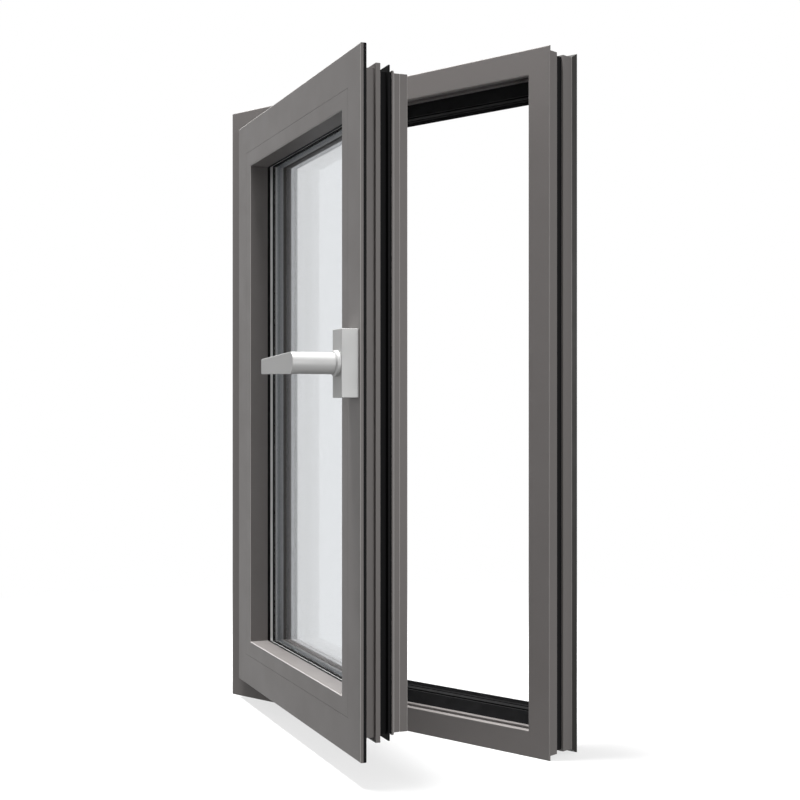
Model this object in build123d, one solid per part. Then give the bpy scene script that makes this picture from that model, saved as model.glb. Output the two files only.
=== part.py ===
"""Aluminium casement window: thermally broken frame, inward-opening double-glazed sash, lever handle.

Axes: X along the width (hinges at -X), Y from the room to the outside, Z up.
The origin is the centre of the flat web under the sill, the face the window stands on in its wall.
The sash is drawn closed and then swung about its hinge pins to the open position of the photo.
Sections are drawn as (depth, offset): depth runs from the room side to the outside,
offset runs inward from the outer edge of the frame or from the edge of the sash's overlap lip.
"""
from build123d import *
import os

# Overall sizes
WIDTH = 608.0
HEIGHT = 900.0
FRAME_DEPTH = 61.0
OPEN_ANGLE = 26.0

# Aluminium extrusions: walls, and corners that are eased so that they catch the light
WALL = 1.8
LIP_T = 2.0
CRIMP_WALL = 3.2
ARRIS_R = 1.4

# Frame section, room-side shell
FRAME_FACE = 33.5
FRAME_WEB_O = 4.5
FRAME_FLOOR_O = 24.0
FRAME_INNER_D = 22.0
FRAME_GROOVE_NEAR = 7.4
FRAME_GROOVE_W = 10.9
FRAME_LIP_REACH = 4.5

# Frame section, thermal break and weather-side shell
FRAME_BREAK_T = 14.0
FRAME_BACK_WEB_O = 5.0
FRAME_BACK_LIP_O = 0.5
FRAME_FLARE_LEN = 7.0
UPSTAND_O = 46.5
UPSTAND_T = 16.0
UPSTAND_SLOPE = 2.0

# Sash section, room-side shell
SASH_INSET = 29.5
SASH_PROUD = 9.0
SASH_LIP_T = 4.0
SASH_WEB_O = 23.0
SASH_FACE = 44.0
SASH_INNER_D = 28.0
SASH_FIN_O = 17.5
SASH_FIN_T = 2.2
SASH_FIN_HOOK = 3.6

# Sash section, thermal break and weather-side shell
SASH_BREAK_T = 20.5
SASH_BACK_O = 23.6
SASH_BACK_STEP = 2.4
SASH_BACK_STEP_LEN = 4.0
SASH_LINE_D = 10.5
SASH_LINE_W = 0.8
SIGHTLINE = 66.4
LEG_T = 3.5

# Plastic strips of the thermal breaks
STRIP_T = 2.4
STRIP_FOOT = 1.6
STRIP_INSET = 3.2
BREAK_FIN_O = 18.3
BREAK_FIN_FROM_BACK = 5.5
BREAK_FIN_T = 2.0

# Glazing, in order from the room: bead, two-lipped seal with its bright strip, glass unit, outer seal
BEAD_JOINT = 0.3
BEAD_FOOT_SHORT = 10.0
BEAD_LEG = 11.0
SEAL_FRONT_LIP = 4.2
SEAL_GROOVE = 4.4
SEAL_BACK_LIP = 1.2
SEAL_HEIGHT = 8.0
SEAL_GROOVE_DEEP = 4.4
BRIGHT_STRIP_T = 2.4
PANE_T = 4.0
CAVITY = 16.0
GLASS_EDGE_GAP = 5.0
SPACER_W = 11.6
SPACER_H = 7.0
SPACER_DROP = 0.4
OUTER_SEAL_T = 5.7
OUTER_SEAL_H = 6.0

# Rubber seals of the frame and of the sash's overlap lip
CENTRE_SEAL_TIP_O = 48.0
CENTRE_SEAL_TIP_T = 2.0
CENTRE_SEAL_LEAN = 2.0
CENTRE_SEAL_FOOT_T = 8.0
WEATHER_SEAL_TIP_O = 54.5
WEATHER_SEAL_LIP_T = 2.2
WEATHER_SEAL_T = 4.0
WEATHER_SEAL_SKIRT_T = 1.5
WEATHER_SEAL_SKIRT = 4.0
WEATHER_SEAL_LINE_D = 6.0
WEATHER_SEAL_LINE_W = 2.2
WEATHER_SEAL_LINE_DEEP = 1.6
OVERLAP_SEAL_T = 4.2
OVERLAP_SEAL_W = 5.0
OVERLAP_SEAL_R = 1.4

# Hinges: the axis is in the gap between the frame's face and the sash's lip
HINGE_AXIS_O = 26.3
HINGE_AXIS_D = 3.1
KNUCKLE_R = 2.6
KNUCKLE_GAP = 0.2
PIN_R = 1.4
PIN_FIT = 0.05
HINGE_LEN = 90.0
HINGE_FROM_END = 130.0
LEAF_T = 1.8
LEAF_SEAT = 20.0

# Drain slots in the outside wall of the sill
DRAIN_LEN = 30.0
DRAIN_H = 5.0
DRAIN_O = 16.0
DRAIN_FROM_END = 120.0

# Handle
HANDLE_O = 22.5
HANDLE_RISE = 46.3
ROSETTE_W = 33.0
ROSETTE_H = 81.0
ROSETTE_T = 21.0
ROSETTE_R = 0.8
COLLAR_R = 15.5
COLLAR_T = 5.5
COLLAR_SLOPE = 1.5
NECK_R = 12.9
NECK_FIT = 0.1
NECK_SOCKET = 12.0
HANDLE_REACH = 79.0
LEVER_T = 12.0
LEVER_LEN = 121.0
LEVER_TIP_H = 18.5
LEVER_TIP_RISE = 2.4
LEVER_TIP_R = 1.5
LEVER_EDGE_R = 0.8

# Depths worked out from the sizes above
FRAME_BREAK_END = FRAME_INNER_D + FRAME_BREAK_T
UPSTAND_D = FRAME_DEPTH - UPSTAND_T
SASH_DEPTH = FRAME_DEPTH + SASH_PROUD
SASH_BREAK_END = SASH_INNER_D + SASH_BREAK_T
LEG_D = SASH_DEPTH - LEG_T
GLASS_END = LEG_D - OUTER_SEAL_T
GLASS_D = GLASS_END - 2 * PANE_T - CAVITY
BEAD_DEPTH = GLASS_D - SEAL_FRONT_LIP - SEAL_GROOVE - SEAL_BACK_LIP
BEAD_FOOT = BEAD_DEPTH - BEAD_FOOT_SHORT
GLASS_O = SASH_FACE + GLASS_EDGE_GAP
ORIGIN_D = (LIP_T + FRAME_INNER_D) / 2

# Places worked out from the sizes above
SASH_W = WIDTH - 2 * SASH_INSET
SASH_H = HEIGHT - 2 * SASH_INSET
MID_Z = HEIGHT / 2 - FRAME_WEB_O
HINGE_X = HINGE_AXIS_O - WIDTH / 2
HINGE_Y = -HINGE_AXIS_D - ORIGIN_D
HINGE_ZS = {"upper": MID_Z + HEIGHT / 2 - HINGE_FROM_END, "lower": MID_Z - HEIGHT / 2 + HINGE_FROM_END}
FRAME_CENTRE = Pos(0, -ORIGIN_D, MID_Z)
SASH_CENTRE = Pos(0, -ORIGIN_D - SASH_PROUD, MID_Z)
SWING = Pos(HINGE_X, HINGE_Y, 0) * Rot(0, 0, -OPEN_ANGLE) * Pos(-HINGE_X, -HINGE_Y, 0)


def outline(*points):
    """Closed section face through (depth, offset) points."""
    return make_face(Polyline(*points, close=True))


def block(d0, d1, o0, o1):
    """Rectangular section face between two depths and two offsets."""
    return Pos((d0 + d1) / 2, (o0 + o1) / 2) * Rectangle(d1 - d0, o1 - o0)


def eased(section, radius, *corners):
    """Section with the corners at the given (depth, offset) points rounded."""
    places = [Vector(*corner) for corner in corners]
    near = [v for v in section.vertices() if min((Vector(v) - p).length for p in places) < WALL / 100]
    return fillet(near, radius)


def bar(section, length):
    """Mitred bar: a section run along X, with its outer edge at Z = 0 and its inward side up."""
    reach = section.bounding_box().max.Y + WALL
    half = length / 2
    run = extrude(Plane.YZ * section, amount=half, both=True)
    plan = outline((-half, 0), (half, 0), (half - reach, reach), (reach - half, reach))
    return run & extrude(Plane.XZ * plan, amount=SASH_DEPTH, both=True)


def four_bars(section, width, height):
    """The four mitred bars round a rectangle that is centred on the local origin, by side."""
    level = Pos(0, 0, -height / 2) * bar(section, width)
    upright = Pos(0, 0, -width / 2) * bar(section, height)
    return {
        "bottom": level,
        "left": Rot(0, 90, 0) * upright,
        "top": Rot(0, 180, 0) * level,
        "right": Rot(0, -90, 0) * upright,
    }


def ring(section, width, height):
    """One closed loop of a section, joined at its mitres."""
    bars = four_bars(section, width, height)
    return bars["bottom"] + bars["left"] + bars["top"] + bars["right"]


def frame_strips():
    """Two plastic strips that join the frame's shells, with feet rolled into both."""
    start = FRAME_INNER_D - STRIP_FOOT
    end = FRAME_BREAK_END + STRIP_FOOT
    low = FRAME_WEB_O + STRIP_INSET
    high = FRAME_FACE - STRIP_INSET
    return block(start, end, low, low + STRIP_T) + block(start, end, high - STRIP_T, high)


def frame_inner_section():
    """Room-side shell: face with its outer lip, closed chamber and the open groove for fittings."""
    end = FRAME_INNER_D
    mouth_end = FRAME_GROOVE_NEAR + FRAME_GROOVE_W
    shell = block(0, end, FRAME_WEB_O, FRAME_FACE) + block(0, LIP_T, 0, FRAME_WEB_O)
    shell += block(mouth_end, end + FRAME_LIP_REACH, FRAME_FACE - WALL, FRAME_FACE)
    shell -= block(WALL, end - CRIMP_WALL, FRAME_WEB_O + WALL, FRAME_FLOOR_O - WALL)
    shell -= block(WALL, end - CRIMP_WALL, FRAME_FLOOR_O, FRAME_FACE - WALL)
    shell -= block(FRAME_GROOVE_NEAR, mouth_end, FRAME_FLOOR_O, FRAME_FACE)
    return eased(shell - frame_strips(), ARRIS_R, (0, 0), (0, FRAME_FACE))


def frame_outer_section():
    """Weather-side shell: flared back lip, two chambers and the upstand that rings the sash."""
    start = FRAME_BREAK_END
    top = UPSTAND_O - UPSTAND_SLOPE
    shell = outline((start, FRAME_BACK_WEB_O), (FRAME_DEPTH - FRAME_FLARE_LEN, FRAME_BACK_WEB_O),
                    (FRAME_DEPTH - LIP_T, FRAME_BACK_LIP_O), (FRAME_DEPTH, FRAME_BACK_LIP_O),
                    (FRAME_DEPTH, UPSTAND_O), (UPSTAND_D, top), (UPSTAND_D, FRAME_FACE), (start, FRAME_FACE))
    inside = FRAME_DEPTH - WALL
    shell -= block(start + CRIMP_WALL, inside, FRAME_BACK_WEB_O + WALL, FRAME_FACE - WALL)
    shell -= block(UPSTAND_D + WALL, inside, FRAME_FACE, top - WALL)
    return eased(shell - frame_strips(), ARRIS_R, (FRAME_DEPTH, FRAME_BACK_LIP_O))


def weather_seal_section():
    """Rubber cap on the upstand: front skirt, a sunk line along its top and a lip towards the sash."""
    front = UPSTAND_D - WEATHER_SEAL_SKIRT_T
    low = UPSTAND_O - UPSTAND_SLOPE
    root = FRAME_DEPTH - 2 * WEATHER_SEAL_LIP_T
    cap = outline((front, low - WEATHER_SEAL_SKIRT), (UPSTAND_D, low - WEATHER_SEAL_SKIRT), (UPSTAND_D, low),
                  (FRAME_DEPTH, UPSTAND_O), (FRAME_DEPTH, WEATHER_SEAL_TIP_O),
                  (FRAME_DEPTH - WEATHER_SEAL_LIP_T, WEATHER_SEAL_TIP_O), (root, UPSTAND_O + WEATHER_SEAL_T),
                  (front, low + WEATHER_SEAL_T))
    line_d = UPSTAND_D + WEATHER_SEAL_LINE_D
    sunk = low + WEATHER_SEAL_T - WEATHER_SEAL_LINE_DEEP
    return cap - block(line_d, line_d + WEATHER_SEAL_LINE_W, sunk, WEATHER_SEAL_TIP_O)


def centre_seal_section():
    """Rubber upstand on the thermal break, leaning outward behind the sash's plastic fin."""
    foot = FRAME_FACE - STRIP_INSET
    end = FRAME_BREAK_END
    tip = end + CENTRE_SEAL_LEAN
    return outline((end - CENTRE_SEAL_FOOT_T, foot), (end, foot), (end, FRAME_FACE), (tip, CENTRE_SEAL_TIP_O),
                   (tip - CENTRE_SEAL_TIP_T, CENTRE_SEAL_TIP_O), (end - CENTRE_SEAL_FOOT_T, FRAME_FACE))


def sash_strips():
    """Two plastic strips that join the sash's shells, the outer one with a sealing fin."""
    start = SASH_INNER_D - STRIP_FOOT
    end = SASH_BREAK_END + STRIP_FOOT
    low = SASH_BACK_O + WALL
    high = SASH_FACE - WALL
    fin_d = SASH_BREAK_END - BREAK_FIN_FROM_BACK
    fin = block(fin_d - BREAK_FIN_T / 2, fin_d + BREAK_FIN_T / 2, BREAK_FIN_O, low)
    return block(start, end, low, low + STRIP_T) + fin + block(start, end, high - STRIP_T, high)


def sash_inner_section():
    """Room-side shell: overlap lip, chamber and the hooked fin that closes the fittings groove."""
    end = SASH_INNER_D
    shell = block(0, end, SASH_WEB_O, SASH_FACE) + block(0, SASH_LIP_T, 0, SASH_WEB_O)
    shell += block(end - SASH_FIN_T, end, SASH_FIN_O, SASH_WEB_O)
    shell += block(end, end + SASH_FIN_HOOK, SASH_FIN_O, SASH_FIN_O + SASH_FIN_T)
    shell -= block(WALL, end - CRIMP_WALL, SASH_WEB_O + WALL, SASH_FACE - WALL)
    return eased(shell - sash_strips(), ARRIS_R, (0, 0))


def sash_outer_section():
    """Weather-side shell: stepped side with a shadow line, chamber and the leg behind the glass."""
    start = SASH_BREAK_END
    side = SASH_BACK_O + SASH_BACK_STEP
    shell = outline((start, SASH_BACK_O), (start + SASH_BACK_STEP_LEN / 2, SASH_BACK_O),
                    (start + SASH_BACK_STEP_LEN, side), (SASH_DEPTH, side), (SASH_DEPTH, SIGHTLINE),
                    (LEG_D, SIGHTLINE), (LEG_D, SASH_FACE), (start, SASH_FACE))
    shell -= block(start + CRIMP_WALL, SASH_DEPTH - WALL, side + WALL, SASH_FACE - WALL)
    line_d = SASH_DEPTH - SASH_LINE_D
    half_line = SASH_LINE_W / 2
    shell -= outline((line_d - half_line, side), (line_d + half_line, side), (line_d, side + half_line))
    return eased(shell - sash_strips(), ARRIS_R, (SASH_DEPTH, side), (SASH_DEPTH, SIGHTLINE))


def bead_section():
    """Clip-on glazing bead: face, reveal, seal leg and a foot on the sash, open at the back."""
    face_o = SASH_FACE + BEAD_JOINT
    shell = block(0, BEAD_DEPTH, face_o, SIGHTLINE) + block(WALL, BEAD_FOOT, SASH_FACE, face_o)
    shell -= block(WALL, BEAD_DEPTH - WALL, SASH_FACE + WALL, SIGHTLINE - WALL)
    shell -= block(BEAD_FOOT, BEAD_DEPTH, SASH_FACE, SIGHTLINE - BEAD_LEG)
    return eased(shell, ARRIS_R, (0, SIGHTLINE))


def inner_seal_section():
    """Two-lipped rubber seal between bead and glass, with a groove for the bright strip."""
    groove = BEAD_DEPTH + SEAL_FRONT_LIP
    seal = block(BEAD_DEPTH, GLASS_D, SIGHTLINE - SEAL_HEIGHT, SIGHTLINE)
    return seal - block(groove, groove + SEAL_GROOVE, SIGHTLINE - SEAL_GROOVE_DEEP, SIGHTLINE)


def bright_strip_section():
    """Bright metal strip at the bottom of the seal's groove."""
    groove = BEAD_DEPTH + SEAL_FRONT_LIP
    floor = SIGHTLINE - SEAL_GROOVE_DEEP
    return block(groove, groove + SEAL_GROOVE, floor, floor + BRIGHT_STRIP_T)


def overlap_seal_section():
    """Rubber seal along the back of the sash's overlap lip."""
    back = SASH_LIP_T + OVERLAP_SEAL_T
    strip = block(SASH_LIP_T, back, 0, OVERLAP_SEAL_W)
    return eased(strip, OVERLAP_SEAL_R, (back, 0), (back, OVERLAP_SEAL_W))


def upright_run(plan, at_z, length):
    """A plan shape run along Z and centred on a height."""
    return Pos(0, 0, at_z - length / 2) * extrude(plan, amount=length)


def plan_block(x0, x1, y0, y1):
    """Rectangular plan shape between two X and two Y places."""
    return Pos((x0 + x1) / 2, (y0 + y1) / 2) * Rectangle(x1 - x0, y1 - y0)


def hinge_frame_leaf(at_z):
    """Leaf bent round the jamb's inner corner, with end knuckles and the pin through them."""
    axis = Pos(HINGE_X, HINGE_Y)
    edge_x = FRAME_FACE - WIDTH / 2
    plate = plan_block(HINGE_X, edge_x + LEAF_T, -ORIGIN_D - LEAF_T, -ORIGIN_D)
    plate += plan_block(edge_x, edge_x + LEAF_T, -ORIGIN_D, LEAF_SEAT - ORIGIN_D)
    leaf = upright_run(plate + axis * Circle(KNUCKLE_R), at_z, HINGE_LEN)
    leaf -= upright_run(axis * Circle(KNUCKLE_R + 4 * KNUCKLE_GAP), at_z, HINGE_LEN / 3 + 2 * KNUCKLE_GAP)
    return leaf + upright_run(axis * Circle(PIN_R), at_z, HINGE_LEN)


def hinge_sash_leaf(at_z):
    """Leaf bent from the back of the lip onto the sash's side, with the bored middle knuckle."""
    axis = Pos(HINGE_X, HINGE_Y)
    lip_x = SASH_INSET - WIDTH / 2
    lip_y = SASH_LIP_T - SASH_PROUD - ORIGIN_D
    web_x = lip_x + SASH_WEB_O
    plate = plan_block(lip_x, web_x, lip_y, lip_y + LEAF_T)
    plate += plan_block(web_x - LEAF_T, web_x, lip_y, lip_y + LEAF_SEAT)
    arm = plan_block(HINGE_X, lip_x + LEAF_T, lip_y, lip_y + LEAF_T)
    leaf = upright_run(plate, at_z, HINGE_LEN)
    leaf += upright_run(arm + axis * Circle(KNUCKLE_R), at_z, HINGE_LEN / 3)
    return leaf - upright_run(axis * Circle(PIN_R + PIN_FIT), at_z, HINGE_LEN)


def drain_slots():
    """Cutters for the two drain slots in the sill's outside wall."""
    slot = Plane.XZ * SlotOverall(DRAIN_LEN, DRAIN_H)
    cutter = extrude(slot, amount=2 * WALL, both=True)
    reach = WIDTH / 2 - DRAIN_FROM_END
    return [Pos(x, FRAME_DEPTH, DRAIN_O - HEIGHT / 2) * cutter for x in (-reach, reach)]


def rosette():
    """Square-ended handle base with a coned collar and the socket that the neck turns in."""
    base = Box(ROSETTE_W, ROSETTE_T, ROSETTE_H, align=(Align.CENTER, Align.MAX, Align.CENTER))
    front = base.faces().sort_by(Axis.Y)[0]
    base = fillet(base.edges().filter_by(Axis.Y) + front.edges(), ROSETTE_R)
    profile = Polyline((0, 0), (COLLAR_R, 0), (COLLAR_R, COLLAR_T - COLLAR_SLOPE),
                       (COLLAR_R - COLLAR_SLOPE, COLLAR_T), (0, COLLAR_T), close=True)
    collar = Rot(90, 0, 0) * revolve(Plane.XZ * make_face(profile), Axis.Z)
    socket = extrude(Plane.XZ * Circle(NECK_R + NECK_FIT), amount=NECK_SOCKET + COLLAR_T)
    return base + Pos(0, -ROSETTE_T, 0) * collar - Pos(0, NECK_SOCKET - ROSETTE_T, 0) * socket


def lever():
    """Round neck and a flat grip: half-round over the neck, tapering to the tip on the hinge side."""
    neck_len = HANDLE_REACH - ROSETTE_T + NECK_SOCKET - NECK_FIT
    neck = Pos(0, neck_len - HANDLE_REACH, 0) * extrude(Plane.XZ * Circle(NECK_R), amount=neck_len)
    tip_low = (-LEVER_LEN, LEVER_TIP_RISE - NECK_R)
    tip_high = (-LEVER_LEN, LEVER_TIP_RISE - NECK_R + LEVER_TIP_H)
    taper = eased(outline((0, -NECK_R), (0, NECK_R), tip_high, tip_low), LEVER_TIP_R, tip_high, tip_low)
    grip = Pos(0, LEVER_T - HANDLE_REACH, 0) * extrude(Plane.XZ * (taper + Circle(NECK_R)), amount=LEVER_T)
    grip = fillet(grip.faces().sort_by(Axis.Y)[0].edges(), LEVER_EDGE_R)
    return neck + grip


FRAME_SIDES = {"bottom": "sill", "left": "hinge_jamb", "top": "head", "right": "lock_jamb"}
SASH_SIDES = {"bottom": "bottom_rail", "left": "hinge_stile", "top": "top_rail", "right": "lock_stile"}
BEAD_SIDES = {"bottom": "bottom", "left": "hinge_side", "top": "top", "right": "lock_side"}

nodes = {}

# Frame bars, each a room-side shell, a thermal break and a weather-side shell
FRAME_LAYERS = {"inner_profile": frame_inner_section(), "thermal_break": frame_strips(),
                "outer_profile": frame_outer_section()}
for layer, section in FRAME_LAYERS.items():
    for side, solid in four_bars(section, WIDTH, HEIGHT).items():
        if layer == "outer_profile" and side == "bottom":
            solid -= drain_slots()
        nodes[f"frame_{FRAME_SIDES[side]}_{layer}"] = FRAME_CENTRE * solid

# Frame seals
nodes["frame_centre_gasket"] = FRAME_CENTRE * ring(centre_seal_section(), WIDTH, HEIGHT)
nodes["frame_weather_gasket"] = FRAME_CENTRE * ring(weather_seal_section(), WIDTH, HEIGHT)

# Sash bars and glazing beads
SASH_LAYERS = {"inner_profile": sash_inner_section(), "thermal_break": sash_strips(),
               "outer_profile": sash_outer_section()}
for layer, section in SASH_LAYERS.items():
    for side, solid in four_bars(section, SASH_W, SASH_H).items():
        nodes[f"sash_{SASH_SIDES[side]}_{layer}"] = SWING * SASH_CENTRE * solid
for side, solid in four_bars(bead_section(), SASH_W, SASH_H).items():
    nodes[f"glazing_bead_{BEAD_SIDES[side]}"] = SWING * SASH_CENTRE * solid

# Glass unit: two panes, the spacer that holds them apart and the black sealant on both its sides
pane = Box(SASH_W - 2 * GLASS_O, PANE_T, SASH_H - 2 * GLASS_O,
           align=(Align.CENTER, Align.MIN, Align.CENTER))
nodes["glass_pane_inner"] = SWING * SASH_CENTRE * Pos(0, GLASS_D, 0) * pane
nodes["glass_pane_outer"] = SWING * SASH_CENTRE * Pos(0, GLASS_END - PANE_T, 0) * pane
spacer_o = SIGHTLINE - SPACER_DROP
cavity_mid = (GLASS_D + GLASS_END) / 2
spacer_front = cavity_mid - SPACER_W / 2
spacer_back = cavity_mid + SPACER_W / 2
spacer = block(spacer_front, spacer_back, spacer_o - SPACER_H, spacer_o)
sealant = block(GLASS_D + PANE_T, spacer_front, spacer_o - SPACER_H, spacer_o)
sealant += block(spacer_back, GLASS_END - PANE_T, spacer_o - SPACER_H, spacer_o)
nodes["glass_spacer"] = SWING * SASH_CENTRE * ring(spacer, SASH_W, SASH_H)
nodes["glass_edge_sealant"] = SWING * SASH_CENTRE * ring(sealant, SASH_W, SASH_H)

# Seals that hold the glass unit
nodes["glazing_gasket_inner"] = SWING * SASH_CENTRE * ring(inner_seal_section(), SASH_W, SASH_H)
nodes["glazing_bright_strip"] = SWING * SASH_CENTRE * ring(bright_strip_section(), SASH_W, SASH_H)
outer_seal = block(GLASS_END, LEG_D, SIGHTLINE - OUTER_SEAL_H, SIGHTLINE)
nodes["glazing_gasket_outer"] = SWING * SASH_CENTRE * ring(outer_seal, SASH_W, SASH_H)

# Hinges, and the seal behind the sash lip, which stops where they pass
overlap_seal = SASH_CENTRE * ring(overlap_seal_section(), SASH_W, SASH_H)
for level, at_z in HINGE_ZS.items():
    nodes[f"hinge_{level}_frame_leaf"] = hinge_frame_leaf(at_z)
    nodes[f"hinge_{level}_sash_leaf"] = SWING * hinge_sash_leaf(at_z)
    gap = Box(2 * SASH_WEB_O, 2 * SASH_PROUD, HINGE_LEN + 4 * KNUCKLE_GAP)
    overlap_seal -= Pos(SASH_INSET - WIDTH / 2, -ORIGIN_D - SASH_PROUD / 2, at_z) * gap
nodes["sash_overlap_gasket"] = SWING * overlap_seal

# Handle on the lock stile
handle_at = SASH_CENTRE * Pos(SASH_W / 2 - HANDLE_O, 0, HANDLE_RISE)
nodes["handle_rosette"] = SWING * handle_at * rosette()
nodes["handle_lever"] = SWING * handle_at * lever()

os.makedirs("parts", exist_ok=True)
for name, solid in nodes.items():
    export_step(solid, f"parts/{name}.step")
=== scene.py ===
import math

import bpy
import numpy as np
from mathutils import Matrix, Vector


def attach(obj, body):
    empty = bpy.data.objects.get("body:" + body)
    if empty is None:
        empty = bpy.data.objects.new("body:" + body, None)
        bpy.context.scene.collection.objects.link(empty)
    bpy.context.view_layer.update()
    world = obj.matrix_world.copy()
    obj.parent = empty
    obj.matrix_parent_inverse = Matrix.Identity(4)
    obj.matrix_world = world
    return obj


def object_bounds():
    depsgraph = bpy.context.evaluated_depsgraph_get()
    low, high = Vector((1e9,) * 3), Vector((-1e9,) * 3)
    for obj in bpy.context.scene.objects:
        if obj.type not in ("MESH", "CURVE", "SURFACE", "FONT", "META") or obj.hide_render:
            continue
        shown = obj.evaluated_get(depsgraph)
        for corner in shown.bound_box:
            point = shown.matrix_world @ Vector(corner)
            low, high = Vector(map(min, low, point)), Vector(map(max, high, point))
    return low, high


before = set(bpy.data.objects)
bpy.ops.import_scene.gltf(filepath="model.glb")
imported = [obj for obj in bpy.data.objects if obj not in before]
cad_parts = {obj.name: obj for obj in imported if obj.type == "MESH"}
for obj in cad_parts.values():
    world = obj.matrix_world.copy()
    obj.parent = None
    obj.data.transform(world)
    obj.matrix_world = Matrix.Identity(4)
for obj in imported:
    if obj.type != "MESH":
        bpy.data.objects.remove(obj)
cad_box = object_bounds()
scene = bpy.context.scene
scene.view_settings.view_transform = "Standard"


# Frame bars, room side: hollow aluminium extrusions, cut at 45 degrees and crimped onto corner cleats.
# They are powder coated grey-brown before that, in a satin coat with a fine orange peel.
# Their eased edges are painted paler, a painted highlight where the light catches them.
COAT_TONE_LOW = (0.168, 0.156, 0.151, 1.0)
COAT_TONE_HIGH = (0.182, 0.170, 0.165, 1.0)
COAT_TONE_SCALE = 22.0
COAT_TONE_DETAIL = 4.0
COAT_SPECULAR = 0.20
COAT_ROUGH_LOW = 0.38
COAT_ROUGH_HIGH = 0.46
COAT_PEEL_SCALE = 900.0
COAT_PEEL_STRENGTH = 0.25
COAT_PEEL_DEPTH = 0.00012
PEEL_DETAIL = 1.5
GRAIN_DETAIL = 1.0
GRAIN_FINER = 5.0
GRAIN_SHARE = 0.33
NOISE_LOW = 0.3
NOISE_HIGH = 0.7
COAT_ARRIS = 0.00012
ARRIS_LEAST_ANGLE = math.radians(35)
ARRIS_STEPS = 2
JOIN_REACH = 0.00001
FLAT_SHARE = 0.98
ROUND_SHARE = 0.86
UPRIGHT = (0.0, 0.0, 1.0)
FRAME_WIDTH_AXIS = (1.0, 0.0, 0.0)
FRAME_DEPTH_AXIS = (0.0, 1.0, 0.0)
FRAME_EDGE_HIGHLIGHT_TONE = (0.240, 0.226, 0.219, 1.0)
FRAME_SIDES = ("sill", "head", "hinge_jamb", "lock_jamb")


def new_group(name, numbers, vectors, results):
    """An empty shader group with its number inputs, vector inputs and number results, and the
    sockets that its inputs come from and its results go to."""
    group = bpy.data.node_groups.new(name, "ShaderNodeTree")
    for label in numbers:
        group.interface.new_socket(label, in_out="INPUT", socket_type="NodeSocketFloat")
    for label in vectors:
        group.interface.new_socket(label, in_out="INPUT", socket_type="NodeSocketVector")
    for label in results:
        group.interface.new_socket(label, in_out="OUTPUT", socket_type="NodeSocketFloat")
    return group, group.nodes.new("NodeGroupInput").outputs, group.nodes.new("NodeGroupOutput").inputs


def feed(tree, value, socket):
    """A socket linked to another socket or set to a number, vector or colour."""
    if isinstance(value, bpy.types.NodeSocket):
        tree.links.new(value, socket)
    else:
        socket.default_value = value


def calc(tree, operation, *terms):
    """One step of arithmetic on numbers or sockets."""
    step = tree.nodes.new("ShaderNodeMath")
    step.operation = operation
    for term, socket in zip(terms, step.inputs):
        feed(tree, term, socket)
    return step.outputs["Value"]


def share_along(tree, vector, axis):
    """How far a vector goes along an axis: their dot product."""
    product = tree.nodes.new("ShaderNodeVectorMath")
    product.operation = "DOT_PRODUCT"
    feed(tree, vector, product.inputs[0])
    feed(tree, axis, product.inputs[1])
    return product.outputs["Value"]


def ramp(tree, value, start, end, low=0.0, high=1.0, easing="LINEAR"):
    """A value's way from start to end, carried over to the span from low to high and held there."""
    span = tree.nodes.new("ShaderNodeMapRange")
    span.interpolation_type = easing
    for label, number in (("Value", value), ("From Min", start), ("From Max", end),
                          ("To Min", low), ("To Max", high)):
        feed(tree, number, span.inputs[label])
    return span.outputs["Result"]


def noise(tree, place, scale, detail, dimensions="3D"):
    """Smooth noise over a place, or over one number where it has one dimension."""
    texture = tree.nodes.new("ShaderNodeTexNoise")
    texture.noise_dimensions = dimensions
    feed(tree, place, texture.inputs["W" if dimensions == "1D" else "Vector"])
    feed(tree, scale, texture.inputs["Scale"])
    feed(tree, detail, texture.inputs["Detail"])
    return texture.outputs["Fac"]


def mixed(tree, mask, low, high, kind="RGBA"):
    """A colour, or a number where the kind is FLOAT, that goes from low to high with a mask."""
    mix = tree.nodes.new("ShaderNodeMix")
    mix.data_type = kind
    feed(tree, mask, mix.inputs["Factor"])
    feed(tree, low, mix.inputs["A"])
    feed(tree, high, mix.inputs["B"])
    return mix.outputs["Result"]


def powder_coat_group():
    """Orange peel is a soft noise plus a third of one five times finer.  Tone is a broad noise, and
    the gloss follows it between a low and a high roughness."""
    group, given, result = new_group(
        "powder_coat", ("Peel Scale", "Rough Low", "Rough High"), (), ("Height", "Tone", "Roughness"))
    place = group.nodes.new("ShaderNodeTexCoord").outputs["Object"]
    peel = noise(group, place, given["Peel Scale"], PEEL_DETAIL)
    grain = noise(group, place, calc(group, "MULTIPLY", given["Peel Scale"], GRAIN_FINER), GRAIN_DETAIL)
    tone = noise(group, place, COAT_TONE_SCALE, COAT_TONE_DETAIL)
    gloss = ramp(group, tone, NOISE_LOW, NOISE_HIGH, given["Rough Low"], given["Rough High"])
    feed(group, calc(group, "MULTIPLY_ADD", grain, GRAIN_SHARE, peel), result["Height"])
    feed(group, tone, result["Tone"])
    feed(group, gloss, result["Roughness"])
    return group


def arris_group():
    """Eased edges of a bar: one less the largest share of the surface normal along the bar's two
    section axes and the upright, which is nought on every flat and rises on a rounded edge."""
    group, given, result = new_group("arris", (), ("Axis A", "Axis B"), ("Mask",))
    normal = group.nodes.new("ShaderNodeTexCoord").outputs["Normal"]
    largest = calc(group, "ABSOLUTE", share_along(group, normal, UPRIGHT))
    for axis in ("Axis A", "Axis B"):
        along = calc(group, "ABSOLUTE", share_along(group, normal, given[axis]))
        largest = calc(group, "MAXIMUM", largest, along)
    feed(group, ramp(group, largest, FLAT_SHARE, ROUND_SHARE), result["Mask"])
    return group


def new_material(name):
    """A material, its node tree and the sockets of its Principled shader."""
    material = bpy.data.materials.new(name)
    material.use_nodes = True
    return material, material.node_tree, material.node_tree.nodes["Principled BSDF"].inputs


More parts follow.
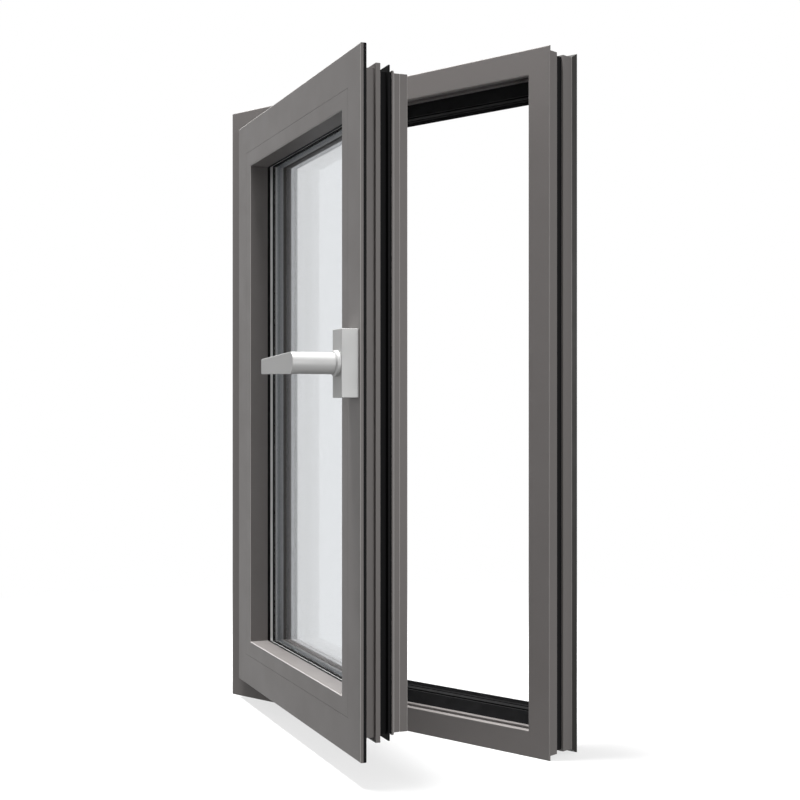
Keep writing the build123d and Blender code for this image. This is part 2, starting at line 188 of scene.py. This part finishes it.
def place_group(tree, group, values):
    """A shared group placed in a material with this material's own values, and its results."""
    node = tree.nodes.new("ShaderNodeGroup")
    node.node_tree = group
    for label, value in values.items():
        node.inputs[label].default_value = value
    return node.outputs


def relief(tree, surface, height, strength, distance):
    """A bump from a height that runs from 0 to 1, where 1 stands proud by distance in metres."""
    bump = tree.nodes.new("ShaderNodeBump")
    bump.inputs["Strength"].default_value = strength
    bump.inputs["Distance"].default_value = distance
    feed(tree, height, bump.inputs["Height"])
    feed(tree, bump.outputs["Normal"], surface["Normal"])


powder_coat = powder_coat_group()
edge_highlight_mask = arris_group()


def coated(name, axis_a, axis_b, edge_highlight_tone):
    """Satin coat over aluminium, with a painted highlight on the eased edges of a bar with the given
    section axes.
    """
    material, tree, surface = new_material(name)
    skin = place_group(tree, powder_coat, {
        "Peel Scale": COAT_PEEL_SCALE, "Rough Low": COAT_ROUGH_LOW, "Rough High": COAT_ROUGH_HIGH})
    edges = place_group(tree, edge_highlight_mask, {"Axis A": axis_a, "Axis B": axis_b})
    coat = mixed(tree, skin["Tone"], COAT_TONE_LOW, COAT_TONE_HIGH)
    surface["Specular IOR Level"].default_value = COAT_SPECULAR
    # Painted highlight: the eased edges take the paler edge tone.
    feed(tree, mixed(tree, edges["Mask"], coat, edge_highlight_tone), surface["Base Color"])
    feed(tree, skin["Roughness"], surface["Roughness"])
    relief(tree, surface, skin["Height"], COAT_PEEL_STRENGTH, COAT_PEEL_DEPTH)
    return material


def dress(names, material, arris):
    """CAD nodes shown as they are: the loose triangles are joined and each sharp edge is eased."""
    for name in names:
        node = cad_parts[name]
        node.data.materials.clear()
        node.data.materials.append(material)
        weld = node.modifiers.new("join", "WELD")
        weld.merge_threshold = JOIN_REACH
        bevel = node.modifiers.new("arris", "BEVEL")
        bevel.width = arris
        bevel.segments = ARRIS_STEPS
        bevel.limit_method = "ANGLE"
        bevel.angle_limit = ARRIS_LEAST_ANGLE
        flats = node.modifiers.new("flats", "WEIGHTED_NORMAL")
        flats.keep_sharp = True


frame_coat = coated("frame_powder_coat", FRAME_WIDTH_AXIS, FRAME_DEPTH_AXIS, FRAME_EDGE_HIGHLIGHT_TONE)
dress([f"frame_{side}_inner_profile" for side in FRAME_SIDES], frame_coat, COAT_ARRIS)


# Frame bars, weather side: the outer shells, extruded, mitred and coated like the inner ones.
# Their flared back lip is darker than the web beside it.
# It is what lies within 5 mm of the window's outline, so that distance darkens the coat.
LIP_TONE = (0.016, 0.015, 0.013, 1.0)
LIP_WIDTH = 0.0047
LIP_BLEND = 0.0004


def outline_distance_group():
    """Distance in from an upright rectangle round the Z axis: half its width less |x|, or half its
    height less |z - middle|, whichever is smaller."""
    group, given, result = new_group(
        "outline_distance", ("Half Width", "Half Height", "Middle"), (), ("Distance",))
    place = group.nodes.new("ShaderNodeSeparateXYZ")
    feed(group, group.nodes.new("ShaderNodeTexCoord").outputs["Object"], place.inputs["Vector"])
    above_middle = calc(group, "SUBTRACT", place.outputs["Z"], given["Middle"])
    from_side = calc(group, "SUBTRACT", given["Half Width"], calc(group, "ABSOLUTE", place.outputs["X"]))
    from_end = calc(group, "SUBTRACT", given["Half Height"], calc(group, "ABSOLUTE", above_middle))
    feed(group, calc(group, "MINIMUM", from_side, from_end), result["Distance"])
    return group


frame_low, frame_high = (np.array(corner) for corner in cad_box)
weather_coat = coated("weather_shell_coat", FRAME_WIDTH_AXIS, FRAME_DEPTH_AXIS, FRAME_EDGE_HIGHLIGHT_TONE)
tree = weather_coat.node_tree
base_colour = tree.nodes["Principled BSDF"].inputs["Base Color"]
edge = place_group(tree, outline_distance_group(), {
    "Half Width": frame_high[0], "Half Height": (frame_high[2] - frame_low[2]) / 2,
    "Middle": (frame_high[2] + frame_low[2]) / 2})
on_lip = ramp(tree, edge["Distance"], LIP_WIDTH, LIP_WIDTH - LIP_BLEND)
feed(tree, mixed(tree, on_lip, base_colour.links[0].from_socket, LIP_TONE), base_colour)
dress([f"frame_{side}_outer_profile" for side in FRAME_SIDES], weather_coat, COAT_ARRIS)


# Thermal breaks of the frame: black glass-filled polyamide strips rolled into both shells.
# They are extruded too, so fine lines run along each strip, and cut glass fibres speckle it.
POLYAMIDE_LOW = (0.0025, 0.0025, 0.0027, 1.0)
POLYAMIDE_HIGH = (0.0070, 0.0070, 0.0074, 1.0)
POLYAMIDE_SPECULAR = 0.08
POLYAMIDE_ROUGHNESS = 0.62
POLYAMIDE_LINE_SCALE = 1600.0
POLYAMIDE_LINE_STRENGTH = 0.3
POLYAMIDE_LINE_DEPTH = 0.00008
POLYAMIDE_FLECK_SCALE = 2600.0
POLYAMIDE_ARRIS = 0.00015
LINE_DETAIL = 3.0
FLECK_DETAIL = 2.0


def die_lines_group():
    """Lines that a die leaves along an extrusion: noise of one number, the point's place on the
    depth axis, so it is the same all along the bar.  Fleck is a fine three-way noise."""
    group, given, result = new_group(
        "die_lines", ("Line Scale", "Fleck Scale"), ("Depth Axis",), ("Lines", "Fleck"))
    place = group.nodes.new("ShaderNodeTexCoord").outputs["Object"]
    depth = share_along(group, place, given["Depth Axis"])
    feed(group, noise(group, depth, given["Line Scale"], LINE_DETAIL, "1D"), result["Lines"])
    feed(group, noise(group, place, given["Fleck Scale"], FLECK_DETAIL), result["Fleck"])
    return group


die_lines = die_lines_group()


def polyamide(name, depth_axis):
    """Dull black plastic, with its lines across the given depth axis."""
    material, tree, surface = new_material(name)
    drawn = place_group(tree, die_lines, {
        "Depth Axis": depth_axis, "Line Scale": POLYAMIDE_LINE_SCALE, "Fleck Scale": POLYAMIDE_FLECK_SCALE})
    surface["Specular IOR Level"].default_value = POLYAMIDE_SPECULAR
    surface["Roughness"].default_value = POLYAMIDE_ROUGHNESS
    feed(tree, mixed(tree, drawn["Fleck"], POLYAMIDE_LOW, POLYAMIDE_HIGH), surface["Base Color"])
    relief(tree, surface, drawn["Lines"], POLYAMIDE_LINE_STRENGTH, POLYAMIDE_LINE_DEPTH)
    return material


frame_polyamide = polyamide("frame_polyamide", FRAME_DEPTH_AXIS)
dress([f"frame_{side}_thermal_break" for side in FRAME_SIDES], frame_polyamide, POLYAMIDE_ARRIS)


# Frame seals: a centre seal that leans on the thermal break, and a rubber cap on the upstand.
# Both are black extruded rubber, pushed into their grooves and glued at the corners.
RUBBER_LOW = (0.0022, 0.0022, 0.0024, 1.0)
RUBBER_HIGH = (0.0080, 0.0080, 0.0084, 1.0)
RUBBER_SPECULAR = 0.08
RUBBER_ROUGH_LOW = 0.48
RUBBER_ROUGH_HIGH = 0.66
RUBBER_GRAIN_SCALE = 3200.0
RUBBER_GRAIN_DETAIL = 2.0
RUBBER_GRAIN_STRENGTH = 0.3
RUBBER_GRAIN_DEPTH = 0.00006
RUBBER_BLOOM_SCALE = 70.0
RUBBER_BLOOM_DETAIL = 5.0
FRAME_SEAL_ARRIS = 0.00025

rubber, tree, surface = new_material("black_seal_rubber")
place = tree.nodes.new("ShaderNodeTexCoord").outputs["Object"]
grain = noise(tree, place, RUBBER_GRAIN_SCALE, RUBBER_GRAIN_DETAIL)
bloom = noise(tree, place, RUBBER_BLOOM_SCALE, RUBBER_BLOOM_DETAIL)
matt = ramp(tree, bloom, NOISE_LOW, NOISE_HIGH, RUBBER_ROUGH_LOW, RUBBER_ROUGH_HIGH)
surface["Specular IOR Level"].default_value = RUBBER_SPECULAR
feed(tree, mixed(tree, bloom, RUBBER_LOW, RUBBER_HIGH), surface["Base Color"])
feed(tree, matt, surface["Roughness"])
relief(tree, surface, grain, RUBBER_GRAIN_STRENGTH, RUBBER_GRAIN_DEPTH)
dress(["frame_centre_gasket", "frame_weather_gasket"], rubber, FRAME_SEAL_ARRIS)


# Hinges: two slim steel butt hinges hidden behind the sash lip, a leaf on each side of a pin.
# The steel is ground satin along its height and the knuckles are rolled from the leaves.
STEEL_LOW = (0.36, 0.36, 0.37, 1.0)
STEEL_HIGH = (0.50, 0.50, 0.51, 1.0)
STEEL_ROUGHNESS = 0.36
STEEL_LINE_AXIS = (0.7, 0.7, 0.0)
STEEL_LINE_SCALE = 2200.0
STEEL_LINE_STRENGTH = 0.25
STEEL_LINE_DEPTH = 0.00005
STEEL_FLECK_SCALE = 240.0
STEEL_ARRIS = 0.00015

steel, tree, surface = new_material("satin_hinge_steel")
ground = place_group(tree, die_lines, {
    "Depth Axis": STEEL_LINE_AXIS, "Line Scale": STEEL_LINE_SCALE, "Fleck Scale": STEEL_FLECK_SCALE})
surface["Metallic"].default_value = 1.0
surface["Roughness"].default_value = STEEL_ROUGHNESS
feed(tree, mixed(tree, ground["Fleck"], STEEL_LOW, STEEL_HIGH), surface["Base Color"])
relief(tree, surface, ground["Lines"], STEEL_LINE_STRENGTH, STEEL_LINE_DEPTH)
dress([f"hinge_{level}_{leaf}_leaf" for level in ("upper", "lower") for leaf in ("frame", "sash")],
      steel, STEEL_ARRIS)


# Hinge screws: raised countersunk screws, cold headed from the hinges' steel, three in each leaf.
# They are turned into the hollow bars with a cross driver until the rim lies sunk in the leaf.
SCREW_RADIUS = 0.0031
SCREW_RISE = 0.0013
SCREW_SINK = 0.0004
SCREW_PITCH = 0.030
SCREW_RINGS = 22
SCREW_TURNS = 48
SCREW_FIRST_RING = 0.04
CROSS_HALF_LENGTH = 0.0018
CROSS_HALF_WIDTH = 0.00038
CROSS_DEPTH = 0.0010
CROSS_WALL_END = 2.0
CROSS_END_SLOPE = 4.0
HINGE_HEIGHTS = (0.7655, 0.1255)
HINGE_AXIS = np.array([-0.2777, -0.0151, 0.0])
FRAME_LEAF_FACE = np.array([-0.2687, -0.0020, 0.0])
SASH_LEAF_FACE = np.array([-0.2533, -0.0070, 0.0])
SASH_TURN = math.radians(26.0)


def swung(points):
    """Points of the closed sash turned with it to where it stands, about the upright hinge axis."""
    cos, sin = math.cos(SASH_TURN), math.sin(SASH_TURN)
    turn = np.array([[cos, sin, 0.0], [-sin, cos, 0.0], [0.0, 0.0, 1.0]])
    return points @ turn.T


def screw_heads(name, centres, across, out, body):
    """Heads on a grid of radius by angle.  The height is a flat dome, rise * (1 - share^2)^0.5, less
    a cross of two slots whose walls slope, and the last ring lies sunk in the leaf."""
    share = np.linspace(SCREW_FIRST_RING, 1.0, SCREW_RINGS)[:, None]
    angle = np.linspace(0.0, 2 * np.pi, SCREW_TURNS, endpoint=False)[None, :]
    right = SCREW_RADIUS * share * np.cos(angle)
    high = SCREW_RADIUS * share * np.sin(angle)
    side = np.minimum(np.abs(right), np.abs(high))
    reach = np.maximum(np.abs(right), np.abs(high))
    wall = np.clip(CROSS_WALL_END - side / CROSS_HALF_WIDTH, 0.0, 1.0)
    end = np.clip(CROSS_END_SLOPE * (1.0 - reach / CROSS_HALF_LENGTH), 0.0, 1.0)
    dome = SCREW_RISE * np.sqrt(np.clip(1.0 - share ** 2, 0.0, 1.0))
    lift = np.where(share < 1.0, dome - CROSS_DEPTH * wall * end, -SCREW_SINK)
    head = right[..., None] * across + high[..., None] * np.array(UPRIGHT) + lift[..., None] * out
    points = (centres[:, None, None, :] + head[None]).reshape(-1, 3)
    ring, turn = np.meshgrid(np.arange(SCREW_RINGS - 1), np.arange(SCREW_TURNS), indexing="ij")
    after = (turn + 1) % SCREW_TURNS
    quads = np.stack([ring * SCREW_TURNS + turn, (ring + 1) * SCREW_TURNS + turn,
                      (ring + 1) * SCREW_TURNS + after, ring * SCREW_TURNS + after], axis=-1).reshape(-1, 4)
    starts = np.arange(len(centres)) * SCREW_RINGS * SCREW_TURNS
    walls = (quads[None] + starts[:, None, None]).reshape(-1, 4).tolist()
    caps = (np.arange(SCREW_TURNS)[None] + starts[:, None]).tolist()
    mesh = bpy.data.meshes.new(name)
    mesh.from_pydata(points.tolist(), [], walls + caps)
    mesh.shade_smooth()
    mesh.materials.append(steel)
    piece = bpy.data.objects.new(name, mesh)
    scene.collection.objects.link(piece)
    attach(piece, body)


screw_heights = np.add.outer(HINGE_HEIGHTS, (-SCREW_PITCH, 0.0, SCREW_PITCH)).ravel()
screw_places = screw_heights[:, None] * np.array(UPRIGHT)
screw_heads("frame_leaf_screws", FRAME_LEAF_FACE + screw_places,
            np.array([0.0, 1.0, 0.0]), np.array([1.0, 0.0, 0.0]), "frame")
screw_heads("sash_leaf_screws", HINGE_AXIS + swung(SASH_LEAF_FACE - HINGE_AXIS + screw_places),
            swung(np.array([0.0, -1.0, 0.0])), swung(np.array([-1.0, 0.0, 0.0])), "sash")


# Sash bars: a second ring of thermally broken extrusions with the same coat, swung 26 degrees open.
# The room-side shells lap over the frame, and the polyamide strips carry a fin towards it.
SASH_DEPTH_AXIS = (math.sin(SASH_TURN), math.cos(SASH_TURN), 0.0)
SASH_WIDTH_AXIS = (math.cos(SASH_TURN), -math.sin(SASH_TURN), 0.0)
# The sash's eased edges get a brighter painted highlight than the frame's.
SASH_EDGE_HIGHLIGHT_TONE = (0.430, 0.412, 0.402, 1.0)
SASH_SIDES = ("bottom_rail", "top_rail", "hinge_stile", "lock_stile")

sash_coat = coated("sash_powder_coat", SASH_WIDTH_AXIS, SASH_DEPTH_AXIS, SASH_EDGE_HIGHLIGHT_TONE)
sash_polyamide = polyamide("sash_polyamide", SASH_DEPTH_AXIS)
for side in SASH_SIDES:
    dress([f"sash_{side}_inner_profile", f"sash_{side}_outer_profile"], sash_coat, COAT_ARRIS)
    dress([f"sash_{side}_thermal_break"], sash_polyamide, POLYAMIDE_ARRIS)


# Glass: two float panes with a faint blue-grey body tint, held apart by a spacer of mill aluminium.
# The spacer is a rolled hollow bar, and a black sealant beads it to both panes.
GLASS_TINT = (0.842, 0.857, 0.872, 1.0)
GLASS_IOR = 1.52
SPACER_LOW = (0.46, 0.47, 0.48, 1.0)
SPACER_HIGH = (0.56, 0.57, 0.58, 1.0)
SPACER_METALLIC = 0.2
SPACER_ROUGHNESS = 0.45
SPACER_LINE_SCALE = 1800.0
SPACER_LINE_DEPTH = 0.00005
SPACER_ARRIS = 0.0002
SEALANT_ARRIS = 0.00015
ALUMINIUM_LINE_STRENGTH = 0.3


def drawn_aluminium(name, low, high, metallic, roughness, line_scale, line_depth):
    """Bare aluminium with lines along the bar, which carry its tone from low to high."""
    material, tree, surface = new_material(name)
    drawn = place_group(tree, die_lines, {"Depth Axis": SASH_DEPTH_AXIS, "Line Scale": line_scale})
    surface["Metallic"].default_value = metallic
    surface["Roughness"].default_value = roughness
    feed(tree, mixed(tree, drawn["Lines"], low, high), surface["Base Color"])
    relief(tree, surface, drawn["Lines"], ALUMINIUM_LINE_STRENGTH, line_depth)
    return material


glass, tree, surface = new_material("tinted_float_glass")
surface["Base Color"].default_value = GLASS_TINT
surface["Roughness"].default_value = 0.0
surface["IOR"].default_value = GLASS_IOR
surface["Transmission Weight"].default_value = 1.0
for pane in ("glass_pane_inner", "glass_pane_outer"):
    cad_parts[pane].data.materials.clear()
    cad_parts[pane].data.materials.append(glass)

spacer = drawn_aluminium("mill_aluminium_spacer", SPACER_LOW, SPACER_HIGH, SPACER_METALLIC,
                         SPACER_ROUGHNESS, SPACER_LINE_SCALE, SPACER_LINE_DEPTH)
dress(["glass_spacer"], spacer, SPACER_ARRIS)
dress(["glass_edge_sealant"], rubber, SEALANT_ARRIS)


# Glazing seals: a two-lipped rubber seal under the beads and a plain one against the outer leg.
# A very pale strip with fine lines along it lies in the groove between the two lips and shows as a bright
# line along the seal.
BRIGHT_LOW = (0.82, 0.82, 0.81, 1.0)
BRIGHT_HIGH = (0.92, 0.92, 0.91, 1.0)
BRIGHT_METALLIC = 0.3
BRIGHT_ROUGHNESS = 0.38
BRIGHT_LINE_SCALE = 2400.0
BRIGHT_LINE_DEPTH = 0.00004
BRIGHT_ARRIS = 0.00015
GLAZING_SEAL_ARRIS = 0.00020

bright = drawn_aluminium("pale_groove_strip", BRIGHT_LOW, BRIGHT_HIGH, BRIGHT_METALLIC,
                         BRIGHT_ROUGHNESS, BRIGHT_LINE_SCALE, BRIGHT_LINE_DEPTH)
dress(["glazing_gasket_inner", "glazing_gasket_outer"], rubber, GLAZING_SEAL_ARRIS)
dress(["glazing_bright_strip"], bright, BRIGHT_ARRIS)


# Glazing beads: extruded aluminium bars in the sash's coat, mitred at the corners.
# They snap into the sash from the room and press the inner seal against the glass.
BEAD_SIDES = ("bottom", "top", "hinge_side", "lock_side")
dress([f"glazing_bead_{side}" for side in BEAD_SIDES], sash_coat, COAT_ARRIS)


# Overlap seal: two soft strips of black rubber, pushed into the back of the sash lip.
# They close onto the frame's room face all the way round.
OVERLAP_SEAL_ARRIS = 0.00025
dress(["sash_overlap_gasket"], rubber, OVERLAP_SEAL_ARRIS)


# Handle: a tall square base with a turned collar, and a flat lever on a round neck.
# All of it is cast aluminium, fine blasted and anodised to a satin silver.
SILVER_LOW = (0.375, 0.375, 0.372, 1.0)
SILVER_HIGH = (0.425, 0.425, 0.422, 1.0)
SILVER_METALLIC = 0.35
SILVER_ROUGH_LOW = 0.44
SILVER_ROUGH_HIGH = 0.54
BLAST_SCALE = 2600.0
BLAST_STRENGTH = 0.3
BLAST_DEPTH = 0.00004
HANDLE_ARRIS = 0.0004

silver, tree, surface = new_material("satin_anodised_silver")
blasted = place_group(tree, powder_coat, {
    "Peel Scale": BLAST_SCALE, "Rough Low": SILVER_ROUGH_LOW, "Rough High": SILVER_ROUGH_HIGH})
surface["Metallic"].default_value = SILVER_METALLIC
feed(tree, mixed(tree, blasted["Tone"], SILVER_LOW, SILVER_HIGH), surface["Base Color"])
feed(tree, blasted["Roughness"], surface["Roughness"])
relief(tree, surface, blasted["Height"], BLAST_STRENGTH, BLAST_DEPTH)
dress(["handle_rosette", "handle_lever"], silver, HANDLE_ARRIS)


# Floor: a plain pale sheet, white to the camera and through the panes, with the window's soft shadow.
# It sends little light up, so that the window is lit by the lamps alone.
# In mirrored views it is painted dim behind the window, a painted shade that keeps the grooves black.
FLOOR_HALF = 60.0
FLOOR_SEEN_SHADE = 0.90
FLOOR_BOUNCE_SHADE = 0.06
FLOOR_WHITE_SHARE = 0.70
FLOOR_FADE_START = 0.6
FLOOR_FADE_END = 1.6
FLOOR_MIRROR_SHARE = 0.10
FLOOR_MIRROR_START = 0.1
FLOOR_MIRROR_END = 0.7
MIRROR_SHADE_SPREAD = -0.90
MIRROR_SHADE_LEAN = -0.35
FIRST_MIRROR_LIMIT = 1.5

corners = np.array([(-1, -1), (1, -1), (1, 1), (-1, 1)], dtype=float) * FLOOR_HALF
floor_points = np.column_stack([corners, np.full(4, cad_box[0].z)])
floor_mesh = bpy.data.meshes.new("floor")
floor_mesh.from_pydata(floor_points.tolist(), [], [(0, 1, 2, 3)])
floor = bpy.data.objects.new("floor", floor_mesh)
scene.collection.objects.link(floor)


def matt_shade(tree, shade):
    """A plain matt grey of the given shade."""
    matt = tree.nodes.new("ShaderNodeBsdfDiffuse")
    matt.inputs["Color"].default_value = (shade, shade, shade, 1.0)
    return matt.outputs["BSDF"]


def shared(tree, share, first, second):
    """A shader that goes from the first to the second with a share."""
    mix = tree.nodes.new("ShaderNodeMixShader")
    feed(tree, share, mix.inputs[0])
    feed(tree, first, mix.inputs[1])
    feed(tree, second, mix.inputs[2])
    return mix.outputs["Shader"]


pale = bpy.data.materials.new("pale_floor")
pale.use_nodes = True
tree = pale.node_tree
tree.nodes.clear()
path = tree.nodes.new("ShaderNodeLightPath").outputs
place = tree.nodes.new("ShaderNodeTexCoord").outputs["Object"]
ground = tree.nodes.new("ShaderNodeSeparateXYZ")
feed(tree, place, ground.inputs["Vector"])
from_window = tree.nodes.new("ShaderNodeVectorMath")
from_window.operation = "LENGTH"
feed(tree, place, from_window.inputs[0])

fade = ramp(tree, from_window.outputs["Value"], FLOOR_FADE_START, FLOOR_FADE_END,
            FLOOR_WHITE_SHARE, 1.0, "SMOOTHSTEP")
whiteness = mixed(tree, path["Is Camera Ray"], 1.0, fade, "FLOAT")
white = tree.nodes.new("ShaderNodeEmission").outputs["Emission"]
seen_floor = shared(tree, whiteness, matt_shade(tree, FLOOR_SEEN_SHADE), white)

# Painted shade: mirrored rays see the floor behind the window dimmed.
aside = calc(tree, "ABSOLUTE", ground.outputs["X"])
past_side = calc(tree, "MULTIPLY_ADD", aside, MIRROR_SHADE_SPREAD, ground.outputs["Y"])
behind = calc(tree, "MULTIPLY_ADD", ground.outputs["X"], MIRROR_SHADE_LEAN, past_side)
outside_mirror_shade = ramp(tree, behind, FLOOR_MIRROR_START, FLOOR_MIRROR_END, 1.0, FLOOR_MIRROR_SHARE, "SMOOTHSTEP")
not_twice = calc(tree, "LESS_THAN", path["Glossy Depth"], FIRST_MIRROR_LIMIT)
mirrored = calc(tree, "MULTIPLY", outside_mirror_shade, not_twice)
straight = calc(tree, "MAXIMUM", path["Is Camera Ray"], path["Is Transmission Ray"])
either = mixed(tree, calc(tree, "MINIMUM", path["Glossy Depth"], 1.0), straight, mirrored, "FLOAT")
between_panes = calc(tree, "SUBTRACT", path["Is Transmission Ray"], not_twice)
seen = calc(tree, "MAXIMUM", between_panes, either)
floor_surface = shared(tree, seen, matt_shade(tree, FLOOR_BOUNCE_SHADE), seen_floor)
feed(tree, floor_surface, tree.nodes.new("ShaderNodeOutputMaterial").inputs["Surface"])
floor_mesh.materials.append(pale)


# Surround: an even white backdrop all round, which the glass and the handle mirror.
# For plain light it is a dim dome above the horizon only.
DOME_LIGHT = 0.40
DOME_EDGE = 0.05

world = bpy.data.worlds.new("studio")
scene.world = world
world.use_nodes = True
tree = world.node_tree
background = tree.nodes["Background"]
background.inputs["Color"].default_value = (1, 1, 1, 1)
direction = tree.nodes.new("ShaderNodeSeparateXYZ")
feed(tree, tree.nodes.new("ShaderNodeTexCoord").outputs["Generated"], direction.inputs["Vector"])
dome = ramp(tree, direction.outputs["Z"], -DOME_EDGE, DOME_EDGE, 0.0, DOME_LIGHT)
path = tree.nodes.new("ShaderNodeLightPath").outputs
feed(tree, mixed(tree, path["Is Diffuse Ray"], 1.0, dome, "FLOAT"), background.inputs["Strength"])


# Lamps: four rectangular softboxes with cloth fronts, each turned towards the middle of the window.
# A strong one hangs overhead, and weaker ones stand to the right, in front and behind.
WINDOW_MIDDLE = tuple((cad_box[0] + cad_box[1]) / 2)


def softbox(name, location, width, height, power, mirrored=True):
    """A rectangular area lamp at location, turned so that it shines at the window's middle.  It is
    not seen itself, and metal mirrors it where mirrored says so."""
    lamp = bpy.data.lights.new(name, "AREA")
    lamp.shape = "RECTANGLE"
    lamp.size = width
    lamp.size_y = height
    lamp.energy = power
    holder = bpy.data.objects.new(name, lamp)
    away = np.array(location) - np.array(WINDOW_MIDDLE)
    flat = math.hypot(away[0], away[1])
    holder.rotation_euler = (math.atan2(flat, away[2]), 0.0, math.atan2(away[0], -away[1]))
    holder.location = location
    holder.visible_camera = False
    holder.visible_transmission = False
    holder.visible_glossy = mirrored
    scene.collection.objects.link(holder)


softbox("top_softbox", location=(-0.15, -0.29, 3.6), width=0.5, height=0.5, power=320.0)
softbox("right_softbox", location=(2.45, -1.05, 0.7), width=1.0, height=1.2, power=27.0)
softbox("front_softbox", location=(-1.2, -2.6, 0.9), width=0.8, height=1.8, power=5.0)
softbox("back_softbox", location=(-0.9, 3.0, 1.3), width=1.5, height=1.5, power=26.0, mirrored=False)


# Camera: level, a little below the middle of the window, on a stand in the room to the right.
# It looks past the sash's open edge, with a small rise of the lens to frame the whole window.
CAMERA_PLACE = (1.3438, -1.4242, 0.4397)
CAMERA_LEVEL = math.radians(90.0)
CAMERA_YAW = math.radians(42.535)
CAMERA_SENSOR = 36.0
CAMERA_LENS = 62.47
CAMERA_SHIFT = (0.0007, 0.0096)

camera_data = bpy.data.cameras.new("camera")
camera_data.sensor_width = CAMERA_SENSOR
camera_data.lens = CAMERA_LENS
camera_data.shift_x, camera_data.shift_y = CAMERA_SHIFT
camera = bpy.data.objects.new("camera", camera_data)
camera.location = CAMERA_PLACE
camera.rotation_euler = (CAMERA_LEVEL, 0.0, CAMERA_YAW)
scene.collection.objects.link(camera)
scene.camera = camera
